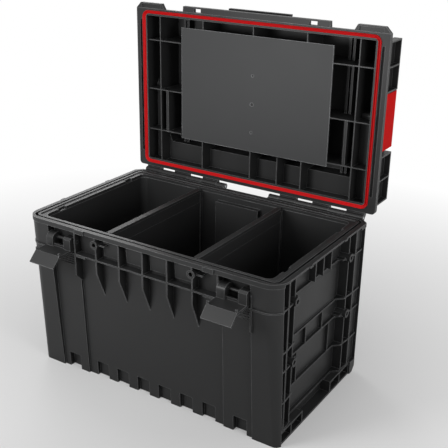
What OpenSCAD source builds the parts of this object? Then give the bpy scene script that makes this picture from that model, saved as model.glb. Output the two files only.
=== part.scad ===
// Stackable tool case with a hinged lid, shown open at a right angle.
// X runs along the width, -Y is the front with the latches, Z is up.
// The origin is on the underside of the floor, in the middle of the cavity.

/* [Case] */
// Width over the rim
case_w = 585; // [560:1:620]
// Height of the base up to the top of its rim
base_h = 340; // [320:1:400]
// Height of the closed lid above the base
lid_h = 80; // [70:1:110]
// Gap between the rims of the closed case
lid_gap = 1; // [0.6:0.1:2]

/* [Base tub] */
// Reach of the cavity to the front at rim height
cavity_front = 158.5; // [150:0.5:170]
// Reach of the cavity to the back
cavity_back = 162; // [150:0.5:175]
// Distance that the front wall leans in from rim to floor
front_lean = 13.5; // [4:0.5:20]
// Thickness of the walls
wall_t = 4; // [3:0.5:5]
// Thickness of the floor
floor_t = 4; // [3:0.5:8]
// Height of the step along the foot of the front wall
toe_h = 38; // [30:1:50]
// Depth of the step along the foot of the front wall
toe_d = 9; // [8:0.5:14]
// Radius of the upright corners of the cavity
cavity_r = 14; // [6:1:24]
// Distance that the latch strips stand out under the rim
pocket_out = 5.5; // [3:0.5:8]
// Distance that the corner posts stand out under the rim
corner_out = 18; // [14:0.5:19]
// Distance that the latch strips still stand out at the floor
foot_out = 4; // [0.5:0.5:5]
// Distance that the corner posts still stand out at the floor
post_foot_out = 8; // [5.5:0.5:9]
// Distance that the back posts stand out from the back wall
back_out = 11; // [8:0.5:15]
// Radius of the corners of the rim
corner_r = 8; // [4:1:18]
// Radius of the rim and of the ledge at the front corners
corner_round = 34; // [24:1:36]
// Radius of the front corners at the floor
corner_foot_r = 14; // [12:1:16]
// Size of the slanted cuts along the back corners
back_corner_cut = 14; // [10:1:15]
// Depth of the open recess in each end wall, from the outer corners
end_recess = 25; // [20:0.5:28]
// Distance from the middle to the back edge of that recess
end_open = 150; // [140:1:152]
// Distance from the middle to the front edge of that recess, under the rim
end_front = 160; // [154:1:162]
// Distance from the middle to the back edge of the shallow recess beside it
shallow_y = 173; // [160:1:173]
// Depth of that shallow recess
shallow_d = 8; // [4:1:12]
// Width of a notch in the bottom edge
notch_w = 30; // [20:1:40]
// Height of a notch in the bottom edge
notch_h = 34; // [20:1:34]
// Depth of a notch in the bottom edge
notch_d = 8.5; // [4:0.5:9]
// Distance between the six middle notches
notch_pitch = 52.8; // [44:0.1:58]
// Distance of the notches under the latches outside the middle of a latch
notch_shift = 4; // [0:1:8]
// Size of the slanted cut at the bottom of the back posts
back_cut = 15; // [5:1:20]

/* [Grip recess in the back wall] */
// Width of the recess
grip_w = 98; // [80:1:105]
// Height of the recess
grip_h = 119; // [60:1:150]
// Distance from the rim down to the recess
grip_down = 17; // [14:1:40]
// Depth of the recess
grip_d = 12; // [8:0.5:20]

/* [Rim of the base] */
// Height of the rim band
rim_t = 9; // [7:0.5:12]
// Overhang of the rim beyond the front posts
rim_front_out = 1.5; // [0.5:0.5:3]
// Overhang of the rim beyond the back posts
rim_back_out = 8; // [6:0.5:10]
// Overhang of the rim beyond the end posts
rim_end_out = 1.5; // [0.5:0.5:3]
// Width of the sealing tongue
tongue_w = 5; // [4:0.5:6]
// Width of the groove outside the tongue
groove_w = 5.5; // [4:0.5:6.5]
// Depth of the groove
groove_d = 5; // [3:0.5:6]
// Distance of the middle of the tongue from the ends of the rim
seal_in = 17; // [16:0.5:18]
// Width of the ledge between the cavity and the tongue at the front
ledge_front_w = 4.5; // [3:0.5:5]
// Width of the ledge between the cavity and the tongue at the back
ledge_back_w = 7.5; // [5:0.5:9]
// Radius of the middle line of the tongue at the corners
seal_r = 10; // [8:1:22]
// Step down from the tongue to the inner ledge
ledge_step = 2; // [1:0.5:4]
// Width of the rim tabs and of the tabs below them
tab_w = 22; // [14:1:30]
// Distance from a latch pocket to the tab beside it
tab_in = 19; // [16:1:22]
// Distance that the tabs stand out
tab_out = 3; // [2:0.5:4]
// Depth of the slots in the tabs of the rim
tab_slot = 4; // [2:0.5:6]
// Height of the outer lip of the rim over the ends
end_lip = 3.5; // [2.5:0.5:5]
// Wall between that lip and the groove
end_lip_wall = 1.5; // [1:0.5:2]
// Length of the notches in the inner ledge
ledge_notch_l = 22; // [10:1:30]
// Depth of those notches
ledge_notch_d = 4.5; // [2:0.5:6]
// Distance from the middle to those notches
ledge_notch_y = 108; // [90:1:115]
// Length of the small stops on the ends of the rim
stop_l = 11; // [6:1:16]
// Distance that those stops stand out
stop_out = 2.5; // [1:0.5:4]
// Distance from the middle to those stops
stop_y = 72; // [50:1:100]

/* [Ribs of the base] */
// Thickness of the ribs
rib_t = 3; // [2:0.5:4]
// Distance between the upright ribs on the front and back
rib_pitch = 56.3; // [50:0.1:58]
// Number of upright ribs between the latches
rib_count = 5; // [3:2:5]
// Distance of the rib edges behind the edge of the rim
rib_inset = 3; // [1:0.5:5]
// Distance from the rim band down to the underside of the long ledge
ledge_down = 49.5; // [44:0.5:66]
// Height below the ledge where the ribs turn inwards
gusset_turn = 27; // [15:1:40]
// Height below the ledge where the ribs meet the wall
gusset_end = 81; // [50:1:120]
// Height below the ledge where the ribs beside a latch turn inwards
pocket_rib_turn = 43; // [35:1:50]
// Height below the ledge where the ribs beside a latch end
pocket_rib_end = 60; // [52:1:80]
// Outer radius of the round bosses
boss_r = 8.5; // [6:0.5:9]
// Radius of the holes in the bosses
boss_hole_r = 4.5; // [2:0.5:5]
// Depth of the holes in the bosses
boss_depth = 14; // [8:1:18]
// Distance that the front bosses stand out past the ribs
boss_out = 5; // [2:0.5:6]
// Height of the front bosses above the ledge
boss_up = 36; // [28:0.5:38]
// Length of the web beside a front boss
boss_web = 22; // [12:1:24]
// Distance from a rib to the raised field beside it
field_side = 9; // [6:0.5:14]
// Distance from the ledge up to a raised field
field_low = 7; // [4:0.5:12]
// Distance from the rim down to a raised field
field_high = 9; // [6:0.5:12]
// Distance that a raised field stands out
field_out = 4; // [1:0.5:5]

/* [End frames] */
// Depth of the ribs in the middle of an end
end_rib_low = 6.4; // [4:0.2:9]
// Depth of the ribs beside the middle of an end
end_rib_mid = 19.5; // [15:0.5:20.5]
// Depth of the ribs near the corners of an end
end_rib_high = 22; // [20:0.5:24]
// Half the length of the low middle part
end_low_y = 92; // [80:1:95]
// Half the length up to the mid-depth part
end_mid_y = 105; // [100:1:107]
// Place of the inner upright ribs
end_rib_y = 112; // [110:1:116]
// Place of the outer upright ribs
end_outer_y = 138; // [132:1:142]
// Thickness of the outer upright ribs
end_outer_t = 4.5; // [3:0.5:6]
// Height of the feet and of the cross rib on them
foot_h = 28; // [20:1:40]
// Height of the second cross rib
cross_2 = 89.5; // [70:0.5:110]
// Height of the third cross rib
cross_3 = 156.5; // [140:0.5:165]
// Height of the cross rib under the bare plate
cross_4 = 196; // [180:1:215]
// Depth of the bare plate on each end
plate_t = 2.5; // [1.5:0.5:4]
// Height of the slanted part above the bare plate
plate_slope = 11; // [6:1:20]
// Distance between the short ribs above the bare plate
short_pitch = 33; // [24:1:38]
// Distance of the middle short rib behind the middle of the end
short_shift = 11; // [0:1:20]
// Depth of those short ribs
short_d = 13.5; // [8:0.5:18]
// Length of each foot
foot_l = 90.5; // [60:0.5:100]
// Depth of the hollows in the outer faces of the feet
foot_hollow = 12; // [6:1:16]
// Height of the bar between the feet
bar_h = 4; // [3:0.5:8]
// Height of the bosses on the ends, the lower pair
end_boss_low = 162; // [150:1:170]
// Distance from the rim band down to the upper pair of bosses on the ends
end_boss_down = 46; // [31:1:71]

/* [Latches] */
// Distance from the ends of the rim to the middle of each latch
latch_in = 91.5; // [88:0.5:96]
// Clear width of the pocket round a latch
pocket_w = 66; // [64:1:68]
// Gap on each side of a latch in its pocket
latch_gap = 2; // [0.5:0.1:3]
// Distance of the latch axis behind the rib edges
latch_axis_in = 6.5; // [5:0.5:7]
// Height of the latch axis above the underside of the ledge
latch_axis_up = 26; // [25.5:0.5:27]
// Radius of the latch pin
latch_pin_r = 3.5; // [2.5:0.1:4.5]
// Radius of the rounded latch hubs
hub_r = 10.5; // [9.5:0.5:10.5]
// Reach of the latch hubs in front of the latch axis
hub_nose = 15.5; // [14:0.5:17]
// Width of each latch hub
hub_w = 17; // [12:1:22]
// Width of the hooks at the two sides of the latch plate
hook_w = 4; // [3:0.5:6]
// Thickness of the latch plate
plate_thick = 3.5; // [2.5:0.5:5]
// Distance from the latch axis to the face of its plate
plate_off = 15.5; // [15.5:0.5:16]
// Height of the bar between the hubs above the plate
cross_bar = 5; // [2:0.5:6]
// Length from the latch axis to the bend in the plate
plate_reach = 46; // [46:0.5:50]
// Length of the slanted finger lip, measured straight out
lip_reach = 19; // [12:1:25]
// Fall of the finger lip
lip_fall = 19; // [10:1:24]
// Height of those hooks
hook_h = 5.5; // [4:0.25:6]
// Thickness of those hooks
hook_t = 3; // [2:0.5:4]
// Number of grip grooves below a latch
grip_count = 6; // [4:1:7]
// Distance between the grip grooves
grip_pitch = 5; // [4:0.5:5]
// Depth of the grip grooves
grip_cut = 2; // [0.6:0.2:2.4]

/* [Hinge] */
// Distance of the hinge axis behind the rim
hinge_back = 10; // [10:0.5:14]
// Distance of the hinge axis below the lid rim
hinge_down = 2; // [2:0.5:4]
// Radius of the hinge knuckles
knuckle_r = 6.5; // [5:0.5:7]
// Radius of the hinge pins
hinge_pin_r = 2.5; // [1.5:0.1:3.5]
// Distance from the ends of the rim to the ends of the hinge
hinge_in = 16.5; // [12:0.5:24]
// Half the width of the free space between the two hinges
hinge_open = 56; // [50:1:60]
// Width of the first knuckle
knuckle_w1 = 23; // [15:1:26]
// Width of the other knuckles
knuckle_w = 37; // [30:1:40]
// Gap between a knuckle and the next arm
knuckle_gap = 0.6; // [0.4:0.1:1.5]
// Radial play of every pin in its bore
pin_play = 0.05; // [0.02:0.01:0.1]

/* [Dividers] */
// Distance from the middle to each divider
divider_x = 102; // [70:1:140]
// Thickness of the web of a divider
divider_t = 4; // [3:0.5:5]
// Thickness of the band along the top of a divider
band_t = 9; // [6:0.5:10]
// Height of that band
band_h = 30; // [20:1:60]
// Width of the bead on top of a divider
bead_w = 11.5; // [8:0.5:12]
// Height of the bead
bead_h = 6; // [4:0.5:9]
// Distance from the rim down to the top of a divider
divider_down = 5; // [3:0.5:30]
// Depth of the divider guides
guide_d = 7; // [5:0.5:10]
// Distance from the rim down to the top of the guides
guide_down = 12; // [12:1:60]
// Clearance all round a divider
divider_play = 0.5; // [0.4:0.1:1]
// Clearance at the two upright edges of a divider
divider_end = 2; // [1:0.5:3]

/* [Lid] */
// Distance that the rim of the lid stands out past each end of the base
lid_over = 5; // [2:0.5:5]
// Height of the rim of the lid
lid_rim_t = 9; // [7:0.5:12]
// Distance of the front edge of the lid rim behind the rim of the base
lid_front_in = 8; // [6:0.5:12]
// Distance of the back edge of the lid rim in front of the hinge axis
lid_back_in = 10; // [8.5:0.5:12]
// Radius of the corners of the lid rim
lid_r = 8; // [4:1:16]
// Distance from the ends of the lid rim to the box of the lid
lid_box_in = 23.5; // [20:0.5:24]
// Distance from the rim to the box of the lid at the front
lid_box_front = 14; // [12:0.5:20]
// Distance that the front of the box leans back
lid_lean = 6; // [0:0.5:8]
// Distance from the rim to the box of the lid at the back
lid_box_back = 10; // [6:0.5:12]
// Thickness of the box of the lid
lid_t = 4; // [3:0.5:5]
// Height of the border and ribs on top of the lid
top_rib_h = 4; // [2:0.5:6]
// Width of that border
top_border = 16; // [10:1:30]
// Length of the step inside the back of the lid
step_l = 42; // [30:1:60]
// Height of the step below the roof of the lid
step_h = 36; // [20:1:50]
// Distance from the middle to the front ends of the columns beside the step
column_front = 11; // [4:1:30]
// Radius of the rounded ends of those columns
column_r = 8; // [6:1:12]
// Width of the slanted corners between step and columns
column_corner_w = 8; // [4:1:12]
// Length of those slanted corners
column_corner_l = 18; // [8:1:24]
// Height of the slanted shoulder inside the back of the lid
shoulder_h = 11; // [6:1:16]
// Distance that the lip and the corner tabs stand out
lip_out = 12; // [11:0.5:12.5]
// Distance from the middle of a latch to the lip
lip_gap = 27.5; // [26.5:0.5:28]
// Slant at the ends of the lip
lip_slant = 1; // [0.5:0.5:2]
// Distance from the middle of a latch to the corner tab
corner_gap = 22; // [20:0.5:23]
// Slant of the corner tabs beside the latches
corner_slant = 7; // [4:0.5:7.5]
// Slant of the corner tabs at the ends of the lid
corner_tab_cut = 11.5; // [6:0.5:16]
// Width of the frame round the sunk face of the corner tabs
tab_frame = 3; // [2:0.5:4]
// Depth of that sunk face
tab_sunk = 2.5; // [1:0.5:4]
// Width of the slots in the lip
slot_w = 18; // [12:1:26]
// Distance from the ends of the lip to the middle of its slots
slot_in = 37; // [28:1:45]

/* [Inside of the lid] */
// Width of the gasket
gasket_w = 7; // [6:0.5:8]
// Distance of the middle of the gasket outside the middle of the tongue
gasket_shift = 1.4; // [1:0.1:1.8]
// Distance that the bead of the gasket reaches into the groove of the base
gasket_bead = 4; // [2:0.5:5]
// Height of the gasket
gasket_h = 4; // [3:0.5:6]
// Clearance round the gasket in its groove
gasket_play = 0.3; // [0.2:0.1:0.5]
// Distance from the gasket to the cavity of the lid
gasket_in = 4; // [3:0.5:5]
// Width of the groove outside the gasket at the ends of the lid
lid_groove_w = 6; // [4:0.5:7]
// Depth of that groove
lid_groove_d = 5; // [3:0.5:6]
// Width of the inner panel
panel_w = 362; // [300:1:420]
// Length of the inner panel
panel_l = 246; // [200:1:260]
// Distance from the cavity of the lid to the front of the inner panel
panel_front = 10; // [4:1:20]
// Thickness of the inner panel
panel_t = 3; // [2:0.5:5]
// Distance of the inner panel behind the plane of the rim
panel_in = 6; // [4:0.5:15]
// Distance from the ends of the box to the long side ribs in the lid
side_rib_in = 37; // [33:0.5:44]
// Distance from a long side rib to the short rib beside it
twin_gap = 18; // [12:1:24]
// Distance from a long side rib to the low ribs on the roof of the lid
low_rib_gap = 42; // [34:1:44]
// Distance between the two low ribs
low_rib_pitch = 9; // [6:0.5:12]
// Height of the low ribs
low_rib_h = 20; // [8:1:30]
// Thickness of the long and cross ribs in the lid
lid_rib_t = 2; // [1.5:0.5:3]
// Thickness of the low ribs
low_rib_t = 5; // [3:0.5:6]
// Thickness of the short rib beside a long side rib
twin_t = 6; // [3:0.5:8]
// Distance of the rib edges behind the plane of the rim
lid_rib_in = 4; // [2:0.5:5]
// Distance between the ribs from front to back
lid_pitch = 124; // [100:1:160]
// Place of the extra rib behind the inner panel
lid_extra_x = 67; // [20:1:100]
// Distance from the front of the panel to the first cross rib
cross_front = 34; // [10:1:70]
// Distance from the last cross rib to the back of the panel
cross_back = 9; // [4:1:30]
// Distance of the middle screw behind the middle of the panel
screw_shift = 20; // [0:1:40]
// Length between the screws of the inner panel
screw_pitch = 61; // [40:1:90]
// Radius of the heads of the panel screws
screw_head_r = 3.8; // [3:0.1:5]
// Radius of the shafts of the panel screws
screw_r = 1.9; // [1.2:0.1:2.5]
// Radius of the bosses that the panel screws go into
screw_boss_r = 6; // [4.5:0.5:8]
// Clearance round a panel screw in the panel
screw_play = 0.4; // [0.3:0.1:0.8]
// Length of the panel screws below the panel
screw_l = 14; // [8:1:20]

/* [Lid ends and clips] */
// Distance that the end blocks stand out from the box of the lid
block_out = 16; // [14:0.5:19]
// Length of the end block next to the hinge
block_back_l = 103; // [80:1:108]
// Length of the end block next to the front
block_front_l = 100; // [80:1:104]
// Thickness of the frame of the end blocks
block_t = 3; // [2:0.5:5]
// Depth of the hollow in the end blocks
block_hollow = 12; // [6:1:14]
// Length of each clip
clip_l = 115; // [90:1:116]
// Gap between a clip and the front block
clip_gap = 1.5; // [0.6:0.1:3]
// Thickness of the plate of a clip
clip_t = 5; // [3:0.5:6]
// Radius of the knuckle of a clip
clip_knuckle_r = 5; // [4:0.5:5.5]
// Distance of the knuckle of a clip above the rim of the lid
clip_up = 6; // [3:0.5:12]
// Radius of the clip pins
clip_pin_r = 2.5; // [1.5:0.1:3]
// Length of the hook at the top of a clip
clip_hook = 7; // [4:0.5:9]

/* [Carrying handle] */
// Width over the handle
handle_w = 147; // [110:1:200]
// Thickness of the bar and legs of the handle
handle_t = 4; // [4:0.5:6]
// Height of the handle bar
handle_bar = 8; // [6:0.5:12]
// Length from the handle axis to the far edge of the bar
handle_l = 39; // [34:0.5:42]
// Width of the legs of the handle
handle_leg = 13; // [9:0.5:16]
// Distance of the handle axis below the top of the lid
handle_axis_down = 16; // [12:0.5:18]
// Distance of the handle axis in front of the box of the lid
handle_axis_out = 7.5; // [7:0.5:9]
// Distance of the middle of the handle bar in front of the box of the lid
handle_out = 31; // [26:0.5:33]
// Radius of the handle pins
handle_pin_r = 2; // [1.5:0.1:2.4]
// Thickness of the lugs that hold the handle
lug_t = 8; // [5:0.5:12]
// Radius of the round ends of the lugs
lug_r = 4.5; // [4:0.5:5]
// Length that the foot of a lug runs on below its round end
lug_foot = 10; // [4:1:16]
// Gap between the handle and its lugs
handle_gap = 0.6; // [0.4:0.1:1.5]

/* [Hidden] */

body_grey = "#34373a";
dark_grey = "#2b2d30";
panel_grey = "#4a4c4e";
signal_red = "#d0181c";
steel_grey = "#8d9093";

// Smoothness of the round parts, and an overlap that makes cuts clean
$fn = 48;
eps = 0.5;
far = 400;
skim = 0.05;

// Heights of the base
rim_z = base_h - rim_t;
ledge_z = rim_z - ledge_down;
ledge_top = ledge_z + rib_t;
end_boss_high = rim_z - end_boss_down;
skirt_z = notch_h + 2;
grip_z = rim_z - grip_down;

// Faces of the base, seen from the middle
front_rim = cavity_front + wall_t + corner_out + rim_front_out;
back_wall = cavity_back + wall_t;
back_post = back_wall + back_out;
back_rim = back_post + rim_back_out;
post_x = case_w / 2 - rim_end_out;
end_wall = post_x - end_recess;
cavity_w = 2 * (end_wall - wall_t);
rib_edge = front_rim - rib_inset;
latch_x = case_w / 2 - latch_in;
strip_in = latch_x - pocket_w / 2;
strip_out = latch_x + pocket_w / 2;
tab_x = strip_in - tab_in;
notch_x = latch_x + notch_shift;

// Axis of the lid hinge, and the plane of the rim of the closed lid
lid_z = base_h + lid_gap;
hinge_y = back_rim + hinge_back;
hinge_z = lid_z - hinge_down;

// Faces of the closed lid
lid_front = front_rim - lid_front_in;
lid_back = hinge_y - lid_back_in;
lid_box_z = lid_z + lid_rim_t;
lid_top = lid_z + lid_h;
roof_z = lid_top - top_rib_h;
lid_x = case_w / 2 + lid_over;
lid_box_x = lid_x - lid_box_in;
lid_rib_x = lid_box_x - side_rib_in;
lip_x = latch_x - lip_gap;
slot_x = lip_x - slot_in;
corner_tab_x = latch_x + corner_gap;
box_front = lid_front - lid_box_front;
box_front_top = box_front - lid_lean;
box_back = lid_back - lid_box_back;

// Middle line of the tongue of the base and of the gasket over it
seal_x = case_w / 2 - seal_in;
seal_front = cavity_front + ledge_front_w + tongue_w / 2;
seal_back = cavity_back + ledge_back_w + tongue_w / 2;

// Cavity of the lid at the plane of its rim, and the underside of its roof
gasket_inner = gasket_shift - gasket_w / 2;
gasket_outer = gasket_shift + gasket_w / 2;
lid_cavity_x = lid_box_x - lid_t;
lid_cavity_front = seal_front + gasket_inner - gasket_in;
lid_cavity_back = seal_back + gasket_inner - gasket_in;
ceiling_z = roof_z - lid_t;

// Latch axis
latch_y = -(rib_edge - latch_axis_in);
latch_z = ledge_z + latch_axis_up;
latch_w = pocket_w - 2 * latch_gap;

// Reach of the front faces at height z: 0 is the middle wall
function lean_at(z) = front_lean * (rim_z - z) / rim_z;
function mid_at(z) = cavity_front + wall_t - lean_at(z);
function out_at(z, low, top) = low + (top - low) * z / rim_z;
function strip_at(z) = mid_at(z) + out_at(z, foot_out, pocket_out);
function post_at(z) = mid_at(z) + out_at(z, post_foot_out, corner_out);
function cavity_at(z) = cavity_front - lean_at(z);
function end_front_at(z) = end_front - lean_at(z);
// Radius of the front corners of the posts at height z
function round_at(z) = corner_foot_r + (corner_round - rim_end_out - corner_foot_r) * z / rim_z;

// A box from its two opposite corners
module block(a, b) {
    translate(a) cube(b - a);
}

// A solid of an outline in Y and Z, from x0 to x1
module along_x(x0, x1, pts) {
    translate([x0, 0, 0])
        rotate([90, 0, 90])
            linear_extrude(x1 - x0) polygon(pts);
}

// A solid of an outline in X and Z, from y0 to y1
module along_y(y0, y1, pts) {
    translate([0, y1, 0])
        rotate([90, 0, 0])
            linear_extrude(y1 - y0) polygon(pts);
}

// A round bar along X, from x0 to x1
module rod_x(x0, x1, y, z, r) {
    translate([x0, y, z]) rotate([0, 90, 0]) cylinder(h = x1 - x0, r = r);
}

// A round bar along Y, from y0 to y1
module rod_y(x, y0, y1, z, r) {
    translate([x, y1, z]) rotate([90, 0, 0]) cylinder(h = y1 - y0, r = r);
}

// A rounded rectangle from x -w to w and from y -front to back
module round_rect(w, front, back, r) {
    square_x = 2 * (w - r);
    translate([-w, -front + r]) square([2 * w, front + back - 2 * r]);
    translate([-w + r, -front]) square([square_x, front + back]);
    for (x = [-w + r, w - r], y = [-front + r, back - r])
        translate([x, y]) circle(r = r);
}

// The outline of the seal line, moved outwards by out
module seal_outline(out) {
    round_rect(seal_x + out, seal_front + out, seal_back + out, seal_r + out);
}

// The same thing on both sides of the middle
module both_sides() {
    children();
    mirror([1, 0, 0]) children();
}

// The space inside the base, open at the top
module base_cavity() {
    top = base_h + eps;
    intersection() {
        along_x(-cavity_w / 2, cavity_w / 2, [
            [-(cavity_at(toe_h) - toe_d), floor_t],
            [cavity_back, floor_t],
            [cavity_back, top],
            [-cavity_at(top), top],
            [-cavity_at(toe_h), toe_h],
            [-(cavity_at(toe_h) - toe_d), toe_h]
        ]);
        linear_extrude(top)
            round_rect(cavity_w / 2, cavity_front + eps, cavity_back, cavity_r);
    }
}

// Middle wall, latch strips and corner posts of the tub, before any cut
// One thin slice of the rounding of the right front post, at height z
module post_slice(z)
    translate([post_x + skim - round_at(z), round_at(z) - skim - post_at(z), z])
        linear_extrude(eps)
            children();

// What the rounding takes away from the right front post
module post_cut() difference() {
    hull()
        for (z = [-eps, rim_z])
            post_slice(z) translate([0, -round_at(z) - 4]) square(round_at(z) + 4);
    hull()
        for (z = [-eps, rim_z])
            post_slice(z) circle(r = round_at(z), $fn = 96);
}

// What the slanted corners take away at the back
module back_corner_cuts() both_sides()
    translate([case_w / 2 - back_corner_cut, back_rim, 0])
        rotate([0, 0, -45])
            block([-far, 0, -far], [far, far, 2 * far]);

// Open recess in the right end, from x0 outwards
module end_room(x0) {
    top = rim_z + eps;
    along_x(x0, far, [
        [-end_front_at(-eps), -eps], [end_open, -eps], [end_open, top], [-end_front_at(top), top]
    ]);
}

module tub_block() {
    along_x(-end_wall, end_wall, [
        [-mid_at(0), 0], [back_wall, 0], [back_wall, rim_z], [-mid_at(rim_z), rim_z]
    ]);
    both_sides() along_x(strip_in, strip_out, [
        [-strip_at(0), 0], [0, 0], [0, rim_z], [-strip_at(rim_z), rim_z]
    ]);
    both_sides() along_x(strip_out, post_x, [
        [-post_at(0), 0], [back_post - back_cut, 0], [back_post, back_cut],
        [back_post, rim_z], [-post_at(rim_z), rim_z]
    ]);
    // Skirt along the foot of the back wall
    block([-strip_out, back_wall - eps, 0], [strip_out, back_post, skirt_z]);
}

module base_tub() color(body_grey) difference() {
    union() {
        difference() {
            tub_block();
            base_cavity();
        }
        // Inner wall of the grip recess at the back
        block([-grip_w / 2 - wall_t, cavity_back - grip_d, grip_z - grip_h - wall_t],
            [grip_w / 2 + wall_t, back_wall, grip_z + wall_t]);
    }
    // Grip recess
    block([-grip_w / 2, cavity_back - grip_d + wall_t, grip_z - grip_h],
        [grip_w / 2, back_wall + eps, grip_z]);
    both_sides() post_cut();
    back_corner_cuts();
    // Open recesses in the two ends, and the shallow ones in the back posts
    both_sides() {
        end_room(end_wall);
        block([post_x - shallow_d, end_open - eps, foot_h], [far, shallow_y, rim_z + eps]);
    }
    // Notches in the bottom edge
    both_sides() for (x = [notch_pitch / 2, notch_pitch * 3 / 2, notch_pitch * 5 / 2, notch_x]) {
        block([x - notch_w / 2, -far, -eps],
            [x + notch_w / 2, -(mid_at(notch_h) - notch_d), notch_h]);
        block([x - notch_w / 2, back_post - notch_d, -eps],
            [x + notch_w / 2, far, notch_h]);
    }
    // Blind holes for the outer ends of the latch pins
    both_sides() rod_x(strip_out - eps, strip_out + rib_t, latch_y, latch_z, latch_pin_r + pin_play);
    // Room for the latch hubs above the ledge
    both_sides() along_x(strip_in, strip_out, [
        [-mid_at(ledge_z), ledge_z], [-mid_at(rim_z), rim_z], [-far, rim_z], [-far, ledge_z]
    ]);
    // Grip grooves under the latches
    both_sides() for (i = [0 : grip_count - 1]) {
        z = ledge_z - (i + 0.5) * grip_pitch;
        block([strip_in + rib_t, -far, z - grip_pitch / 2],
            [strip_out - rib_t, -(strip_at(z) - grip_cut), z]);
    }
}

module base_rim() color(body_grey) difference() {
    union() {
        translate([0, 0, rim_z])
            linear_extrude(rim_t)
                intersection() {
                    round_rect(case_w / 2, front_rim, back_rim, corner_r);
                    round_rect(case_w / 2, front_rim, back_rim + corner_round, corner_round);
                }
        for (x = [-tab_x, tab_x])
            block([x - tab_w / 2, -front_rim - tab_out, rim_z],
                [x + tab_w / 2, -front_rim + rib_t, base_h]);
        for (y = [-stop_y, stop_y])
            block([-case_w / 2 - stop_out, y - stop_l / 2, rim_z + end_lip],
                [case_w / 2 + stop_out, y + stop_l / 2, base_h]);
    }
    back_corner_cuts();
    // Opening of the cavity
    translate([0, 0, rim_z - eps])
        linear_extrude(rim_t + 2 * eps)
            round_rect(cavity_w / 2, cavity_front, cavity_back, cavity_r);
    // Ledge inside the tongue
    translate([0, 0, base_h - ledge_step])
        linear_extrude(rim_t)
            seal_outline(-tongue_w / 2);
    // Groove outside the tongue
    translate([0, 0, base_h - groove_d])
        linear_extrude(rim_t)
            difference() {
                seal_outline(tongue_w / 2 + groove_w);
                seal_outline(tongue_w / 2);
            }
    // Notches in the inner ledge
    for (y = [-ledge_notch_y, ledge_notch_y])
        block([-cavity_w / 2 - ledge_notch_d, y - ledge_notch_l / 2, rim_z - eps],
            [cavity_w / 2 + ledge_notch_d, y + ledge_notch_l / 2, base_h + eps]);
    // Room under the thin outer lip at the ends
    both_sides() block([seal_x + tongue_w / 2 + groove_w + end_lip_wall, -end_front, rim_z - eps],
        [far, end_open, base_h - end_lip]);
    // Low part in the middle of the back
    block([-hinge_open, back_rim - rib_t, rim_z + rib_t], [hinge_open, far, base_h + eps]);
    // Slots in the tabs
    for (x = [-tab_x, tab_x])
        block([x - tab_w / 2 + rib_t, -front_rim - 0.5, base_h - tab_slot],
            [x + tab_w / 2 - rib_t, -front_rim + 1.5, base_h + eps]);
}

// An upright front rib from the rim to the wall below the ledge
module front_rib(x) {
    turn = ledge_z - gusset_turn;
    foot = ledge_z - gusset_end;
    along_x(x - rib_t / 2, x + rib_t / 2, [
        [-mid_at(foot), foot], [-mid_at(rim_z), rim_z],
        [-rib_edge, rim_z], [-rib_edge, turn]
    ]);
}

// A rib beside a latch pocket, which ends in a short slant
module pocket_rib(x) {
    low = ledge_z - pocket_rib_end;
    turn = ledge_z - pocket_rib_turn;
    along_x(x, x + rib_t, [
        [-mid_at(low), low], [-mid_at(rim_z), rim_z],
        [-rib_edge, rim_z], [-rib_edge, turn], [-strip_at(low), low]
    ]);
}

// Half of the tub behind its front face, used to trim what sits on it
module behind_front() {
    top = rim_z + eps;
    along_x(-strip_in, strip_in, [[-mid_at(-eps), -eps], [0, -eps], [0, top], [-mid_at(top), top]]);
    both_sides()
        along_x(strip_in, strip_out, [[-strip_at(-eps), -eps], [0, -eps], [0, top], [-strip_at(top), top]]);
    both_sides() difference() {
        along_x(strip_out, post_x, [[-post_at(-eps), -eps], [0, -eps], [0, top], [-post_at(top), top]]);
        post_cut();
    }
}

module front_frame() color(body_grey) {
    half = (rib_count - 1) / 2;
    boss_x = half * rib_pitch;
    boss_z = ledge_z + boss_up;
    difference() {
        union() {
            // Ledge across the middle and round the corners
            block([-strip_out, -rib_edge, ledge_z], [strip_out, 0, ledge_top]);
            both_sides() translate([0, 0, ledge_z])
                linear_extrude(rib_t)
                    intersection() {
                        round_rect(case_w / 2, rib_edge + 1, back_post, corner_round);
                        translate([strip_out, -rib_edge - 1])
                            square([far, rib_edge + 1 - end_front_at(ledge_top)]);
                    }
            for (i = [-half : half]) front_rib(i * rib_pitch);
            both_sides() {
                pocket_rib(strip_in - rib_t);
                pocket_rib(strip_out);
            }
            for (s = [-1, 1]) {
                rod_y(s * boss_x, -rib_edge - boss_out, 0, boss_z, boss_r);
                // Webs that tie a boss to the rim and to the side
                block([s * boss_x - rib_t / 2, -rib_edge - boss_out / 2, boss_z],
                    [s * boss_x + rib_t / 2, 0, rim_z]);
                block([s * boss_x, -rib_edge, boss_z - rib_t / 2],
                    [s * boss_x + boss_web, 0, boss_z + rib_t / 2]);
            }
            // Tabs on the ledge below the tabs of the rim
            for (x = [-tab_x, tab_x])
                block([x - tab_w / 2, -rib_edge - tab_out, ledge_z - 1],
                    [x + tab_w / 2, 0, ledge_top - 1]);
            // Raised fields between the ribs
            for (i = [-half : half - 1])
                along_x(i * rib_pitch + field_side, (i + 1) * rib_pitch - field_side, [
                    [0, ledge_top + field_low], [0, rim_z - field_high],
                    [-mid_at(rim_z) - field_out, rim_z - field_high],
                    [-mid_at(ledge_top) - field_out, ledge_top + field_low]
                ]);
        }
        behind_front();
        // Holes in the bosses and bores for the latch pins
        for (s = [-1, 1])
            rod_y(s * boss_x, -far, -rib_edge - boss_out + boss_depth, boss_z, boss_hole_r);
        both_sides()
            rod_x(strip_in - 2 * rib_t, strip_out + 2 * rib_t, latch_y, latch_z,
                latch_pin_r + pin_play);
    }
}

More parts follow.
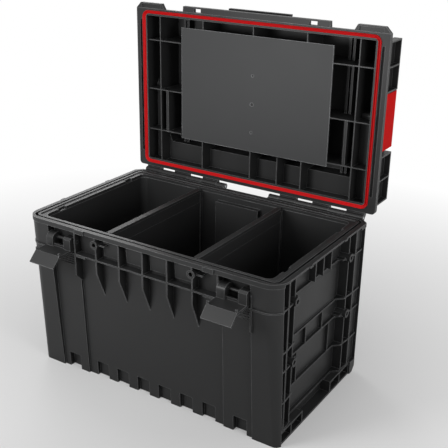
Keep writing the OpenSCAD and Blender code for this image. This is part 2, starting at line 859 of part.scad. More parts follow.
module back_frame() color(body_grey) {
    half = floor(strip_out / rib_pitch);
    foot = ledge_z - gusset_end;
    turn = ledge_z - gusset_turn;
    grip_side = grip_w / 2 + wall_t;
    both_sides() {
        // Ledge beside the grip recess
        block([grip_side, back_wall, ledge_z], [strip_out, back_post, ledge_top]);
        // Upright beside the grip recess, down to the skirt
        block([grip_side, back_wall, skirt_z], [grip_side + rib_t, back_post, rim_z]);
        for (i = [1 : half]) if (i * rib_pitch > grip_side + 2 * rib_t)
            along_x(i * rib_pitch - rib_t / 2, i * rib_pitch + rib_t / 2, [
                [back_wall, foot], [back_post, turn], [back_post, rim_z], [back_wall, rim_z]
            ]);
        // Long rib in line with the latch strips
        block([strip_in - rib_t, back_wall, skirt_z], [strip_in, back_post, rim_z]);
    }
    // Lintel over the grip recess
    block([-grip_side, back_wall, grip_z], [grip_side, back_post, grip_z + rib_t]);
}

// A cross rib of an end, whose edge follows the posts and the low middle
module end_cross_rib(z) {
    x0 = end_wall;
    translate([0, 0, z])
        linear_extrude(rib_t)
            polygon([
                [x0, -end_front], [x0 + end_rib_high, -end_front], [x0 + end_rib_high, -end_outer_y],
                [x0 + end_rib_mid, -end_rib_y], [x0 + end_rib_mid, -end_mid_y],
                [x0 + end_rib_low, -end_low_y], [x0 + end_rib_low, end_low_y],
                [x0 + end_rib_mid, end_mid_y], [x0 + end_rib_mid, end_rib_y],
                [x0 + end_rib_high, end_outer_y], [x0 + end_rib_high, end_open], [x0, end_open]
            ]);
}

module end_frame() {
    x0 = end_wall;
    x_mid = x0 + end_rib_mid;
    x_high = x0 + end_rib_high;
    x_low = x0 + end_rib_low;
    half = rib_t / 2;
    difference() {
        union() {
            intersection() {
                union() {
                    for (z = [foot_h, cross_2, cross_3, cross_4, ledge_z]) end_cross_rib(z);
                    for (s = [0, 1]) mirror([0, s, 0]) {
                        // Upright ribs beside a corner post
                        block([x0, end_outer_y - end_outer_t / 2, 0],
                            [x_high, end_outer_y + end_outer_t / 2, rim_z]);
                        block([x0, end_rib_y - half, 0], [x_mid, end_rib_y + half, rim_z]);
                        // Foot
                        block([x0, end_open - foot_l, 0], [x_high, end_front, foot_h]);
                        // Bosses with a short tie rib each
                        for (z = [end_boss_low, end_boss_high]) {
                            rod_x(x0, post_x, end_rib_y, z, boss_r);
                            block([x0, end_low_y, z - half], [x_mid - rib_t, end_rib_y, z + half]);
                        }
                        // Short uprights between the cross ribs
                        block([x0, short_pitch, cross_3], [x_low, short_pitch + rib_t, cross_4]);
                        block([x0, 2 * short_pitch, cross_2], [x_low, 2 * short_pitch + rib_t, cross_3]);
                    }
                    // Bar between the feet
                    block([x0, foot_l - end_open, 0], [x_high, end_open - foot_l, bar_h]);
                    end_plate();
                    // Short ribs above the plate
                    for (i = [-1 : 1]) {
                        y = i * short_pitch + short_shift;
                        block([x0, y - half, ledge_top], [x0 + short_d, y + half, rim_z]);
                    }
                }
                end_room(x0 - 1);
            }
            // Ends of the cross ribs over the shallow recess in the back post
            for (z = [cross_2, cross_3, cross_4, ledge_z])
                block([post_x - shallow_d, end_open - eps, z], [x_high, shallow_y - 4, z + rib_t]);
        }
        for (s = [-1, 1], z = [end_boss_low, end_boss_high])
            rod_x(post_x - boss_depth, post_x + eps, s * end_rib_y, z, boss_hole_r);
        // Hollows in the outer faces of the feet
        for (s = [0, 1]) mirror([0, s, 0]) {
            y0 = end_open - foot_l;
            y_mid = y0 + foot_l / 2;
            y_end = s == 0 ? end_open : end_front_at(0);
            block([x_high - foot_hollow, y0 + rib_t, bar_h], [far, y_mid - half, foot_h - rib_t]);
            block([x_high - foot_hollow, y_mid + half, bar_h], [far, y_end - rib_t, foot_h - rib_t]);
        }
    }
}

// Bare plate in the middle of an end, with its slanted top
module end_plate() {
    x0 = end_wall;
    low = cross_4 + rib_t;
    along_y(-end_low_y, end_low_y, [
        [x0, low], [x0 + plate_t, low], [x0 + plate_t, ledge_z - plate_slope],
        [x0 + end_rib_low, ledge_z], [x0, ledge_z]
    ]);
}

module end_frame_left() color(dark_grey) mirror([1, 0, 0]) end_frame();

module end_frame_right() color(dark_grey) end_frame();

// Places along X of the base knuckles and of the lid arms on one side
first_arm = hinge_open + knuckle_w1;
hinge_end = case_w / 2 - hinge_in;
arm_w = (hinge_end - first_arm - 2 * knuckle_w) / 3;
function knuckle_spans() = [
    [hinge_open, first_arm],
    [first_arm + arm_w, first_arm + arm_w + knuckle_w],
    [first_arm + 2 * arm_w + knuckle_w, first_arm + 2 * arm_w + 2 * knuckle_w]
];
function arm_start(i) = first_arm + i * (arm_w + knuckle_w);
function arm_spans() = [
    for (i = [0 : 2]) [arm_start(i) + knuckle_gap, arm_start(i) + arm_w - knuckle_gap]
];

module hinge_knuckles() color(dark_grey) difference() {
    both_sides() for (k = knuckle_spans()) {
        rod_x(k[0], k[1], hinge_y, hinge_z, knuckle_r);
        along_x(k[0], k[1], [
            [back_rim, rim_z], [back_rim, base_h - eps], [hinge_y - knuckle_r + eps, base_h - eps],
            [hinge_y, hinge_z], [hinge_y, hinge_z - knuckle_r]
        ]);
    }
    both_sides() rod_x(hinge_open - eps, hinge_end, hinge_y, hinge_z, hinge_pin_r + pin_play);
}

module hinge_pin_left() color(steel_grey)
    rod_x(-hinge_end + knuckle_gap, -hinge_open, hinge_y, hinge_z, hinge_pin_r);

module hinge_pin_right() color(steel_grey)
    rod_x(hinge_open, hinge_end - knuckle_gap, hinge_y, hinge_z, hinge_pin_r);

// The inside of the base shrunk by in, with its step along the front
function inside_outline(in, low, high) = [
    [-(cavity_at(toe_h) - toe_d - in), low], [cavity_back - in, low], [cavity_back - in, high],
    [-(cavity_at(high) - in), high], [-(cavity_at(toe_h + in) - in), toe_h + in],
    [-(cavity_at(toe_h) - toe_d - in), toe_h + in]
];

module divider_guides() color(body_grey) {
    slot = divider_t / 2 + divider_play;
    top = base_h - guide_down;
    both_sides() for (s = [-1, 1]) {
        x = divider_x + s * (slot + rib_t / 2);
        difference() {
            along_x(x - rib_t / 2, x + rib_t / 2, inside_outline(0, floor_t, top));
            along_x(x - rib_t, x + rib_t, inside_outline(guide_d, floor_t - eps, base_h));
        }
    }
}

module divider(side) {
    top = base_h - divider_down;
    low = floor_t + divider_play;
    x = side * divider_x;
    along_x(x - divider_t / 2, x + divider_t / 2, inside_outline(divider_end, low, top));
    // Thick band and bead between the guides
    intersection() {
        union() {
            block([x - band_t / 2, -far, top - band_h], [x + band_t / 2, far, top]);
            block([x - bead_w / 2, -far, top - bead_h], [x + bead_w / 2, far, top]);
        }
        along_x(x - bead_w, x + bead_w, inside_outline(guide_d + divider_end, floor_t, top));
    }
}

module divider_left() color(dark_grey) divider(-1);

module divider_right() color(dark_grey) divider(1);

module latch_pin(side) {
    x0 = side * latch_x - pocket_w / 2 - rib_t;
    rod_x(x0, x0 + pocket_w + 2 * rib_t, latch_y, latch_z, latch_pin_r);
}

module latch_pin_left() color(dark_grey) latch_pin(-1);

module latch_pin_right() color(dark_grey) latch_pin(1);

// A latch outline: out is the reach from the latch axis, up the height
function latch_outline(pts) = [for (p = pts) [latch_y - p[0], latch_z + p[1]]];

module latch(side) {
    x0 = side * latch_x - latch_w / 2;
    x1 = x0 + latch_w;
    face = -plate_off;
    back = face - plate_thick;
    tip = plate_reach + lip_reach;
    miter = plate_thick * 0.7;
    difference() {
        union() {
            // Rounded hub, squarer hub and the bar between them
            rod_x(x0, x0 + hub_w, latch_y, latch_z, hub_r);
            along_x(x0, x0 + hub_w, latch_outline(concat(
                [for (a = [0 : 15 : 90]) [hub_nose * sin(a), hub_r * cos(a)]],
                [[hub_nose, back], [0, back], [-2, -hub_r + 1]]
            )));
            rod_x(x1 - hub_w, x1, latch_y, latch_z, hub_r);
            along_x(x1 - hub_w, x1, latch_outline([
                [0, hub_r - 0.5], [hub_nose - 4, hub_r - 0.5], [hub_nose, hub_r - 4.5],
                [hub_nose, back], [0, back], [-2, -hub_r + 1]
            ]));
            block([x0, latch_y - hub_nose + plate_thick, latch_z + face - eps],
                [x1, latch_y - hub_nose / 2, latch_z + face + cross_bar]);
            // Plate with its slanted finger lip
            along_x(x0, x1, latch_outline([
                [hub_nose / 2, face], [plate_reach, face], [tip, face - lip_fall],
                [tip - miter, face - lip_fall - miter], [plate_reach - miter / 2, back],
                [hub_nose / 2, back]
            ]));
            // Hooks that close over the ends of the lip and of the corner tab
            for (x = [x0, x1 - hook_w])
                block([x, latch_y - plate_reach, latch_z + face - eps],
                    [x + hook_w, latch_y - plate_reach + hook_t, latch_z + face + hook_h]);
        }
        rod_x(x0 - eps, x1 + eps, latch_y, latch_z, latch_pin_r + pin_play);
    }
}

module latch_left() color(dark_grey) latch(-1);

module latch_right() color(dark_grey) latch(1);

// The lid is drawn closed and turned open about its hinge
module opened() {
    translate([0, hinge_y, hinge_z])
        rotate([-90, 0, 0])
            translate([0, -hinge_y, -hinge_z]) children();
}

// Reach of the front face of the lid box at height z
function box_front_at(z) = box_front - lid_lean * (z - lid_box_z) / (lid_top - lid_box_z);

module step_block(in) {
    x0 = lid_rib_x + in;
    x1 = lid_box_x - in;
    y0 = -column_front + column_r;
    y1 = box_back - lid_t;
    y_step = y1 - step_l;
    low = ceiling_z - step_h + in;
    top = lid_top + eps;
    z_mid = low - in + column_r;
    block([-x1, y_step + in, low], [x1, y1 + eps - in, top]);
    both_sides() {
        block([x0, y0, low], [x1, y_step + in + eps, top]);
        block([x0, in - column_front, z_mid], [x1, y_step + in + eps, top]);
        rod_x(x0, x1, y0, z_mid, column_r - in);
    }
    // Slanted corners between the step and the columns
    if (in == 0) both_sides()
        translate([0, 0, low])
            linear_extrude(top - low)
                polygon([
                    [x0 + eps, y_step + eps], [x0 - column_corner_w, y_step + eps],
                    [x0 - column_corner_w, y_step], [x0, y_step - column_corner_l],
                    [x0 + eps, y_step - column_corner_l]
                ]);
}

module lid_cavity() {
    low = lid_z - eps;
    seat_z = lid_z + gasket_h + 2;
    difference() {
        along_x(-lid_cavity_x, lid_cavity_x, [
            [-lid_cavity_front, low], [lid_cavity_back, low], [lid_cavity_back, seat_z],
            [box_back - lid_t, seat_z + shoulder_h], [box_back - lid_t, ceiling_z],
            [-(box_front_at(ceiling_z) - lid_t), ceiling_z], [-lid_cavity_front, lid_z]
        ]);
        step_block(0);
    }
}

// Sunk fields on top of the lid
module top_fields() {
    x1 = lid_box_x - top_border;
    y0 = -box_front_top + top_border;
    y1 = box_back - lid_t - step_l - top_border;
    count = 4;
    pitch = (2 * x1 + top_border / 2) / count;
    for (i = [0 : count - 1], j = [0, 1]) {
        x = -x1 + i * pitch;
        y_mid = (y0 + y1) / 2;
        block([x, j == 0 ? y0 : y_mid + top_border / 4, roof_z],
            [x + pitch - top_border / 2, j == 0 ? y_mid - top_border / 4 : y1, lid_top + eps]);
    }
}

module lid_shell() color(body_grey) opened() difference() {
    union() {
        translate([0, 0, lid_z])
            linear_extrude(lid_rim_t) {
                round_rect(lid_x, lid_front, lid_back, lid_r);
                translate([-lid_x, -lid_front]) square([2 * lid_x, lid_front]);
            }
        along_x(-lid_box_x, lid_box_x, [
            [-box_front, lid_box_z - 1], [box_back, lid_box_z - 1],
            [box_back, lid_top], [-box_front_top, lid_top], [-box_front, lid_box_z]
        ]);
    }
    lid_cavity();
    step_block(lid_t);
    top_fields();
    // Groove of the gasket
    translate([0, 0, lid_z - eps])
        linear_extrude(gasket_h + gasket_play + eps)
            difference() {
                seal_outline(gasket_outer + gasket_play);
                seal_outline(gasket_inner - gasket_play);
            }
    // Grooves outside the gasket at the ends
    groove_x = seal_x + gasket_outer + gasket_play + end_lip_wall;
    both_sides() block([groove_x, -end_open, lid_z - eps],
        [groove_x + lid_groove_w, end_open, lid_z + lid_groove_d]);
}

module lid_front_lip() color(body_grey) opened() difference() {
    y0 = -lid_front;
    y1 = -lid_front - lip_out;
    union() {
        // Long lip between the latches
        translate([0, 0, lid_z])
            linear_extrude(lid_rim_t)
                polygon([[-lip_x, y0], [-lip_x + lip_slant, y1], [lip_x - lip_slant, y1], [lip_x, y0]]);
        // Corner tab outside a latch
        both_sides() translate([0, 0, lid_z])
            linear_extrude(lid_rim_t)
                polygon([[corner_tab_x, y0], [corner_tab_x + corner_slant, y1],
                    [lid_x - corner_tab_cut, y1], [lid_x, y0]]);
    }
    both_sides() {
        block([slot_x - slot_w / 2, y1 + rib_t, lid_z - eps],
            [slot_x + slot_w / 2, y0 - 1, lid_box_z + eps]);
        // Sunk face of the corner tab
        block([corner_tab_x + corner_slant + tab_frame, y1 + tab_frame, lid_z - eps],
            [lid_x - corner_tab_cut - tab_frame, y0 - 1, lid_z + tab_sunk]);
    }
}

module lid_hinge_arms() color(dark_grey) opened() difference() {
    both_sides() for (a = arm_spans()) {
        rod_x(a[0], a[1], hinge_y, hinge_z, knuckle_r);
        along_x(a[0], a[1], [
            [lid_back, lid_z], [lid_back, lid_box_z], [lid_back + 7, lid_box_z],
            [hinge_y + knuckle_r - 0.5, hinge_z + 1.5], [hinge_y, hinge_z], [hinge_y - 3, lid_z]
        ]);
    }
    both_sides() rod_x(hinge_open, hinge_end, hinge_y, hinge_z, hinge_pin_r + pin_play);
}

// Front and back edges of the inner panel, and the middle one of its screws
panel_y0 = -(box_front_top - lid_t) + panel_front;
panel_y1 = panel_y0 + panel_l;
panel_z = lid_z + panel_in;
screw_mid = (panel_y0 + panel_y1) / 2 + screw_shift;

// The three screws of the inner panel
module at_screws() {
    for (i = [-1 : 1]) translate([0, screw_mid + i * screw_pitch, panel_z]) children();
}

module lid_ribs() color(body_grey) opened() {
    edge = lid_z + lid_rib_in;
    gap = 1;
    side_x = panel_w / 2 + gap;
    half = lid_rib_t / 2;
    back_rib = panel_y1 - cross_back;
    difference() {
        intersection() {
            union() {
                // Ribs from front to back, cross ribs, and the extra rib behind the panel
                for (x = [-lid_rib_x, -lid_pitch, 0, lid_pitch, lid_rib_x])
                    block([x - half, -far, edge], [x + half, far, lid_top]);
                for (y = [panel_y0 + cross_front, screw_mid, back_rib])
                    block([-far, y - half, edge + 1], [far, y + half, lid_top]);
                // Short ribs beside the long ones, and low ribs on the roof
                both_sides() {
                    x_twin = lid_rib_x - twin_gap;
                    block([x_twin - twin_t / 2, screw_mid, edge], [x_twin + twin_t / 2, back_rib, lid_top]);
                    for (i = [0, 1]) {
                        x = lid_rib_x - low_rib_gap + i * low_rib_pitch;
                        block([x - low_rib_t / 2, -far, ceiling_z - low_rib_h],
                            [x + low_rib_t / 2, far, lid_top]);
                    }
                }
                block([lid_extra_x - half, back_rib, edge], [lid_extra_x + half, far, lid_top]);
                // Bosses for the screws of the panel
                at_screws() cylinder(h = screw_l + panel_t + rib_t, r = screw_boss_r);
            }
            lid_cavity();
        }
        // Room for the panel, and the holes of its screws
        block([-side_x, panel_y0 - gap, lid_z - eps], [side_x, panel_y1 + gap, panel_z + panel_t]);
        at_screws() cylinder(h = screw_l + panel_t + 1, r = screw_r + pin_play);
    }
}

module lid_gasket() color(signal_red) opened() {
    translate([0, 0, lid_z])
        linear_extrude(gasket_h)
            difference() {
                seal_outline(gasket_outer);
                seal_outline(gasket_inner);
            }
    // Bead that reaches into the groove of the base
    translate([0, 0, lid_z - gasket_bead])
        linear_extrude(gasket_bead + eps)
            difference() {
                seal_outline(gasket_outer);
                seal_outline(tongue_w / 2 + gasket_play);
            }
}

function head_r(i) = i == 0 ? screw_head_r : screw_head_r * 0.65;

module lid_panel() color(panel_grey) opened() difference() {
    block([-panel_w / 2, panel_y0, panel_z], [panel_w / 2, panel_y1, panel_z + panel_t]);
    for (i = [-1 : 1])
        translate([0, screw_mid + i * screw_pitch, panel_z - eps]) {
            cylinder(h = panel_t + 2 * eps, r = screw_r + screw_play);
            cylinder(h = eps + panel_t / 2, r = head_r(i) + screw_play);
        }
}

module panel_screws() color(steel_grey) opened()
    for (i = [-1 : 1])
        translate([0, screw_mid + i * screw_pitch, panel_z + 0.4]) {
            cylinder(h = screw_l, r = screw_r);
            cylinder(h = panel_t / 2 - 0.4, r = head_r(i));
        }

// Faces of the end blocks, and places along Y of the blocks and of a clip
block_x = lid_box_x + block_out;
block_top = lid_top - 1;
block_gap_back = box_back - block_back_l;
block_front = -box_front_top - 2;
block_gap_front = block_front + block_front_l;
clip_front = block_gap_front + clip_gap;
clip_x = lid_box_x + clip_knuckle_r + 1;
clip_z = lid_box_z + clip_knuckle_r + clip_up;
pin_end = 2 * block_t;

// A block on the end of the lid, hollow towards the outside
module end_block(y0, y1) {
    bay_l = (y1 - y0 - 3 * block_t) / 2;
    difference() {
        block([lid_box_x, y0, lid_box_z], [block_x, y1, block_top]);
        for (y = [y0 + block_t, y0 + 2 * block_t + bay_l])
            block([block_x - block_hollow, y, lid_box_z + block_t],
                [block_x + eps, y + bay_l, block_top - block_t]);
    }
}

module lid_end() {
    difference() {
        union() {
            end_block(block_gap_back, box_back);
            end_block(block_front, block_gap_front);
        }
        rod_y(clip_x, block_gap_front - pin_end, block_gap_back + pin_end, clip_z,
            clip_pin_r + pin_play);
    }
}

module lid_end_left() color(dark_grey) opened() mirror([1, 0, 0]) lid_end();

module lid_end_right() color(dark_grey) opened() lid_end();

module clip_pin()
    rod_y(clip_x, block_gap_front - pin_end, block_gap_back + pin_end, clip_z, clip_pin_r);

module clip_pin_left() color(steel_grey) opened() mirror([1, 0, 0]) clip_pin();

module clip_pin_right() color(steel_grey) opened() clip_pin();

module clip() {
    y0 = clip_front;
    y1 = clip_front + clip_l;
    bend = clip_t / 2;
    inner = block_x - clip_t;
    hook = inner - clip_hook;
    difference() {
        union() {
            rod_y(clip_x, y0, y1, clip_z, clip_knuckle_r);
            along_y(y0, y1, [
                [clip_x, clip_z - clip_knuckle_r], [block_x, lid_box_z + clip_up],
                [block_x, block_top - bend], [block_x - bend, block_top],
                [hook, block_top], [hook, block_top - bend], [inner, block_top - clip_t],
                [inner, clip_z + clip_knuckle_r + bend], [clip_x, clip_z + clip_knuckle_r]
            ]);
        }
        rod_y(clip_x, y0 - eps, y1 + eps, clip_z, clip_pin_r + pin_play);
    }
}

module clip_left() color(signal_red) opened() mirror([1, 0, 0]) clip();

module clip_right() color(signal_red) opened() clip();

// Axis of the carrying handle on the closed lid
handle_y = -(box_front_top + handle_axis_out);
handle_z = lid_top - handle_axis_down;
handle_out_x = handle_w / 2;

module handle_lugs() color(dark_grey) opened() difference() {
    x0 = handle_out_x + handle_gap;
    x1 = x0 + lug_t;
    low = handle_z - lug_r - lug_foot;
    high = handle_z + lug_r;
    both_sides() {
        along_x(x0, x1, [
            [-box_front_at(low), low], [-box_front_at(high), high],
            [handle_y, handle_z + lug_r], [handle_y, handle_z - lug_r]
        ]);
        rod_x(x0, x1, handle_y, handle_z, lug_r);
    }
    both_sides() rod_x(x0 - eps, x1 + eps, handle_y, handle_z, handle_pin_r + pin_play);
}

module handle_pin()
    rod_x(handle_out_x - handle_leg, handle_out_x + handle_gap + lug_t, handle_y, handle_z,
        handle_pin_r);

module handle_pin_left() color(steel_grey) opened() mirror([1, 0, 0]) handle_pin();

module handle_pin_right() color(steel_grey) opened() handle_pin();

module carry_handle() color(dark_grey) opened() difference() {
    x0 = handle_out_x - handle_leg;
    bar_y = -(box_front_top + handle_out);
    low = handle_z - handle_l;
    half = handle_t * 0.6;
    union() {
        both_sides() {
            rod_x(x0, handle_out_x, handle_y, handle_z, handle_t / 2 + handle_pin_r);
            // Slanted leg from the pin to the bar
            along_x(x0, handle_out_x, [
                [handle_y - half, handle_z - 1], [handle_y + half, handle_z - 1],
                [bar_y + handle_t / 3, low + 1], [bar_y - handle_t / 3, low + 1]
            ]);
        }
        block([-handle_out_x, bar_y - handle_t / 2, low],
            [handle_out_x, bar_y + handle_t / 2, low + handle_bar]);
    }
    both_sides() rod_x(x0 - eps, handle_out_x + eps, handle_y, handle_z, handle_pin_r + pin_play);
}

base_tub();
base_rim();
front_frame();
back_frame();
end_frame_left();
end_frame_right();
hinge_knuckles();
hinge_pin_left();
hinge_pin_right();
divider_guides();
latch_pin_left();
latch_pin_right();
latch_left();
latch_right();
divider_left();
divider_right();
lid_shell();
lid_front_lip();
lid_hinge_arms();
lid_ribs();
lid_gasket();
lid_panel();
panel_screws();
lid_end_left();
lid_end_right();
handle_lugs();
clip_pin_left();
clip_pin_right();
clip_left();
clip_right();
handle_pin_left();
handle_pin_right();
carry_handle();
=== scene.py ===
"""Looks of a stackable tool case with its lid open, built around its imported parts."""
import math

import bmesh
import bpy
from bpy.props import FloatProperty, FloatVectorProperty, PointerProperty
from mathutils import Matrix, Vector


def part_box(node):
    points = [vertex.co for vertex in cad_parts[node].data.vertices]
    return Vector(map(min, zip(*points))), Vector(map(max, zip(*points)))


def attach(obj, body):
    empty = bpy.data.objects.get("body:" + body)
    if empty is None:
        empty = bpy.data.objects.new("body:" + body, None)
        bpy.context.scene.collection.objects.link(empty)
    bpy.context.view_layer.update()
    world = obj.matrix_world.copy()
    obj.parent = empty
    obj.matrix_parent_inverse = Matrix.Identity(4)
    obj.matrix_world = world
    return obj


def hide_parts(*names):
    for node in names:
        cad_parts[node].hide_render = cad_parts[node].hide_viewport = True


bl_info = {
    "name": "Tool Case",
    "version": (1, 0, 0),
    "blender": (4, 5, 0),
    "location": "3D View > Sidebar > Tool Case",
    "description": "Finishes and fine moulded detail of an open tool case",
    "category": "Object",
}

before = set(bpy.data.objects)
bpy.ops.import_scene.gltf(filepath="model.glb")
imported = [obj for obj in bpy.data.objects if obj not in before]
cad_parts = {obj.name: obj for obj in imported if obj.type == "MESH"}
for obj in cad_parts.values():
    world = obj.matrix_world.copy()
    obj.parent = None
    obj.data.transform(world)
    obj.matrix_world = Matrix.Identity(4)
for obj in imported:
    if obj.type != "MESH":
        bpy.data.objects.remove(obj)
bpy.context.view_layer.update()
MM = 0.001
WHITE = (1.0, 1.0, 1.0, 1.0)

# Moulded edges, in metres and degrees
EDGE_ROUND = 0.0006
EDGE_STEPS = 2
EDGE_ANGLE = 35.0

# Shares of a plastic's own colour: in its clouds, and deep in its gaps, where shade is painted
CLOUD_DARK = 0.86
CLOUD_LIGHT = 1.14
RECESS_SHADE_SHARE = 0.12

# Waves to a metre
CLOUD_WAVES = 7.0
HANDLED_WAVES = 34.0
GRAIN_WAVES = 1500.0
COARSE_GRAIN_WAVES = 520.0

# Relief, in metres
RUBBER_RELIEF = 0.00004
STEEL_RELIEF = 0.00002

# Middle part of a noise, stretched out to its full range
NOISE_LOW = 0.3
NOISE_HIGH = 0.7

# Studio floor: size in metres, and its shades for the light and for the eye, painted darker
# towards the front as painted shade
FLOOR_RADIUS = 9.0
FLOOR_SIDES = 96
FLOOR_LIT = 0.12
FLOOR_FRONT = 0.5
FLOOR_BACK = 0.95
FLOOR_FRONT_Y = -0.9
FLOOR_BACK_Y = 0.5
GLOW_START = 0.25
GLOW_END = 1.4
GLOW_LEAST = 0.12

# Name, place, point lit, size across, and the setting that holds its power
LAMPS = (
    ("Key lamp", (-0.25, -0.75, 0.62), (-0.2, 0.0, 0.6), 0.45, "key_power"),
    ("Side lamp", (1.0, -0.4, 0.68), (0.2, -0.05, 0.66), 0.5, "side_power"),
    ("Back lamp", (-1.55, 1.3, 1.1), (-0.1, 0.0, 0.34), 0.9, "back_power"),
)


# Shader helpers

class Value:
    """A shader socket that takes part in plain sums and products."""

    def __init__(self, finish, socket):
        self.finish = finish
        self.socket = socket

    def _sum(self, operation, first, second):
        return self.finish.node("ShaderNodeMath", {"operation": operation}, {0: first, 1: second})

    def __add__(self, other):
        return self._sum("ADD", self, other)

    __radd__ = __add__

    def __sub__(self, other):
        return self._sum("SUBTRACT", self, other)

    def __rsub__(self, other):
        return self._sum("SUBTRACT", other, self)

    def __mul__(self, other):
        return self._sum("MULTIPLY", self, other)

    __rmul__ = __mul__


class Finish:
    """A material whose nodes are made one call at a time."""

    def __init__(self, name):
        self.material = bpy.data.materials.new(name)
        self.material.use_nodes = True
        self._open(self.material.node_tree)
        self.shader = self.nodes["Principled BSDF"]
        self.output = self.nodes["Material Output"]

    @classmethod
    def of_world(cls, world):
        """The same helpers on the nodes of a world."""
        made = cls.__new__(cls)
        made._open(world.node_tree)
        made.output = made.nodes["World Output"]
        return made

    def _open(self, tree):
        self.nodes = tree.nodes
        self.links = tree.links

    def node(self, kind, settings=None, inputs=None, output=0):
        """Adds a node, sets it, links or fills its inputs and returns one output."""
        made = self.nodes.new(kind)
        for key, value in (settings or {}).items():
            setattr(made, key, value)
        for key, value in (inputs or {}).items():
            self.feed(made.inputs[key], value)
        return Value(self, made.outputs[output])

    def feed(self, socket, value):
        """Links a value into a socket, or writes a constant there."""
        if isinstance(value, Value):
            self.links.new(value.socket, socket)
        else:
            socket.default_value = value

    def set(self, **sockets):
        """Fills sockets of the surface shader; underscores stand for spaces."""
        for key, value in sockets.items():
            name = key.replace("_", " ").title().replace("Ior", "IOR")
            self.feed(self.shader.inputs[name], value)

    def place(self, scale=(1, 1, 1)):
        """Coordinates on the piece in metres, stretched by scale."""
        where = self.node("ShaderNodeTexCoord", output="Object")
        return self.node("ShaderNodeMapping", None, {"Vector": where, "Scale": scale})

    def noise(self, scale, detail=2.0, roughness=0.5, stretch=(1, 1, 1)):
        """Soft noise from 0 to 1, with scale in waves to a metre."""
        inputs = {"Vector": self.place(stretch), "Scale": scale, "Detail": detail,
                  "Roughness": roughness}
        return self.node("ShaderNodeTexNoise", None, inputs)

    def between(self, value, low, high, to_low=0.0, to_high=1.0):
        """Maps value from low..high to to_low..to_high, held at both ends."""
        inputs = {"Value": value, "From Min": low, "From Max": high, "To Min": to_low,
                  "To Max": to_high}
        return self.node("ShaderNodeMapRange", {"clamp": True}, inputs)

    def mix(self, share, first, second):
        """Colour between first and second."""
        inputs = {0: share, 6: first, 7: second}
        return self.node("ShaderNodeMix", {"data_type": "RGBA"}, inputs, 2)

    def edges(self, radius):
        """1 along edges of about this radius, 0 on flat faces."""
        rounded = self.node("ShaderNodeBevel", {"samples": 6}, {"Radius": radius})
        flat = self.node("ShaderNodeNewGeometry", output="Normal")
        settings = {"operation": "DOT_PRODUCT"}
        same = self.node("ShaderNodeVectorMath", settings, {0: rounded, 1: flat}, 1)
        return self.between(1 - same, 0.01, 0.16)

    def openness(self, reach):
        """1 on open faces, towards 0 deep in gaps narrower than reach."""
        return self.node("ShaderNodeAmbientOcclusion", {"samples": 8}, {"Distance": reach}, 1)

    def seen(self):
        """1 where the eye, a mirror or a glass looks, 0 for the light on the case."""
        ways = [self.node("ShaderNodeLightPath", output=name)
                for name in ("Is Camera Ray", "Is Glossy Ray", "Is Transmission Ray")]
        return self.between(ways[0] + ways[1] + ways[2], 0.0, 1.0)

    def bump(self, height, distance):
        """Feeds a small relief into the shader's normal."""
        inputs = {"Height": height, "Distance": distance, "Strength": 1.0}
        self.feed(self.shader.inputs["Normal"], self.node("ShaderNodeBump", None, inputs))


def grey(shade):
    return (shade, shade, shade, 1.0)


def lifted(values, gain):
    """The colour times gain, held at 1."""
    return tuple(min(1.0, part * gain) for part in values[:3]) + (1.0,)


# Finishes

def moulded_plastic(name, look, colour, roughness, gloss=None):
    """Spark-textured moulded plastic: fine grain, faint clouds, painted shade deep in its gaps,
    and edges lightened by rubbed wear and a painted highlight.
    """
    made = Finish(name)
    cloud = made.noise(CLOUD_WAVES, 3.0)
    handled = made.between(made.noise(HANDLED_WAVES, 4.0, 0.6), NOISE_LOW, NOISE_HIGH, 0.35, 1.0)
    # Edge band: rubbed wear in patches, and a painted highlight standing in for light caught by
    # rounded edges
    wear_and_highlight = made.edges(look.edge_radius) * handled
    base = made.mix(cloud, lifted(colour, CLOUD_DARK), lifted(colour, CLOUD_LIGHT))
    # Painted shade: the colour darkens deep in gaps and recesses, where little light reaches
    deep = made.between(made.openness(look.recess_reach), 0.15, 0.75, 1.0, 0.0)
    base = made.mix(deep * look.recess_shade, base, lifted(colour, RECESS_SHADE_SHARE))
    # Painted highlight and rubbed wear: edges lifted far over the plastic's own colour
    base = made.mix(wear_and_highlight * look.highlight_and_wear_share, base, lifted(colour, look.highlight_and_wear_lift))
    dull = made.between(cloud, NOISE_LOW, NOISE_HIGH, roughness - 0.03, roughness + 0.05)
    made.set(base_color=base, roughness=dull - 0.08 * wear_and_highlight)
    made.set(specular_ior_level=look.gloss if gloss is None else gloss)
    grain = made.noise(GRAIN_WAVES, 1.0) + 0.5 * made.noise(COARSE_GRAIN_WAVES, 1.0)
    made.bump(grain, look.grain_depth)
    return made.material


def gasket_rubber(name, look):
    """Smooth red seal with a faint bloom."""
    made = Finish(name)
    cloud = made.noise(20.0, 3.0)
    bloom = made.noise(160.0, 2.0)
    made.set(base_color=made.mix(cloud, lifted(look.red, 0.92), lifted(look.red, 1.05)))
    made.set(roughness=made.between(bloom, NOISE_LOW, NOISE_HIGH, 0.42, 0.55))
    made.set(specular_ior_level=0.15)
    made.bump(made.noise(700.0, 1.0), RUBBER_RELIEF)
    return made.material


def pin_steel(name, look):
    """Drawn steel with fine scratches along the pin."""
    made = Finish(name)
    drawn = made.noise(900.0, 2.0, 0.5, (0.04, 1, 1))
    made.set(base_color=made.mix(drawn, lifted(look.steel, 0.8), lifted(look.steel, 1.1)))
    made.set(metallic=1.0, roughness=made.between(drawn, NOISE_LOW, NOISE_HIGH, 0.26, 0.42))
    made.bump(drawn, STEEL_RELIEF)
    return made.material


def paint(node, material):
    """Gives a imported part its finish."""
    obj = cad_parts[node]
    obj.data.materials.clear()
    obj.data.materials.append(material)


def soften(node):
    """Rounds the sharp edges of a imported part."""
    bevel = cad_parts[node].modifiers.new("Rounded edges", "BEVEL")
    bevel.width = EDGE_ROUND
    bevel.segments = EDGE_STEPS
    bevel.limit_method = "ANGLE"
    bevel.angle_limit = math.radians(EDGE_ANGLE)
    bevel.harden_normals = True


# Settings

